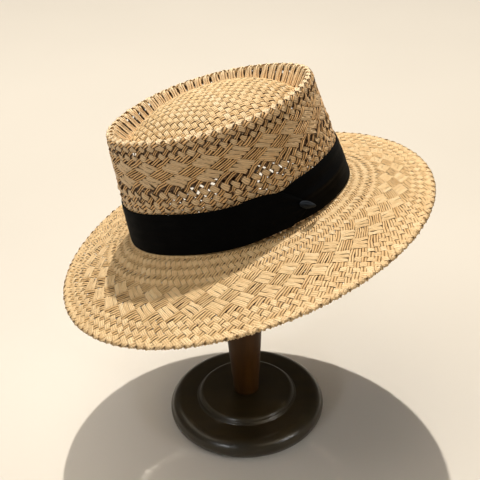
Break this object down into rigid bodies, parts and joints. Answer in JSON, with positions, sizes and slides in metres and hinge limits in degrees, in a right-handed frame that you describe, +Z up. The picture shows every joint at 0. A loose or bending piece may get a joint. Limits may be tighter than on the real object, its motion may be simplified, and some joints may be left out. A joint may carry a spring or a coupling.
{
  "type": "straw boater hat on a hat stand",
  "caption": "Woven straw hat with an openwork telescope crown, drooping brim and black cloth band, resting on a turned wooden hat stand.",
  "frame": {"origin": "centre of the flat underside of the stand's base", "axes": "+Z up along the stand's post, front of the hat towards -X, side with the band's knot towards -Y"},
  "size_m": [0.3328, 0.3311, 0.3527],
  "materials": {
    "straw": "woven natural straw",
    "band_cloth": "matte black ribbon cloth",
    "dark_wood": "dark lacquer",
    "brown_wood": "brown stain, satin"
  },
  "bodies": {
    "root": {"crown_side": "straw", "crown_ridge": "straw", "crown_tip": "straw", "brim": "straw", "hat_band": "band_cloth", "band_knot": "band_cloth", "stand_base": "dark_wood", "stand_post": "brown_wood", "stand_head": "brown_wood"}
  },
  "joints": []
}
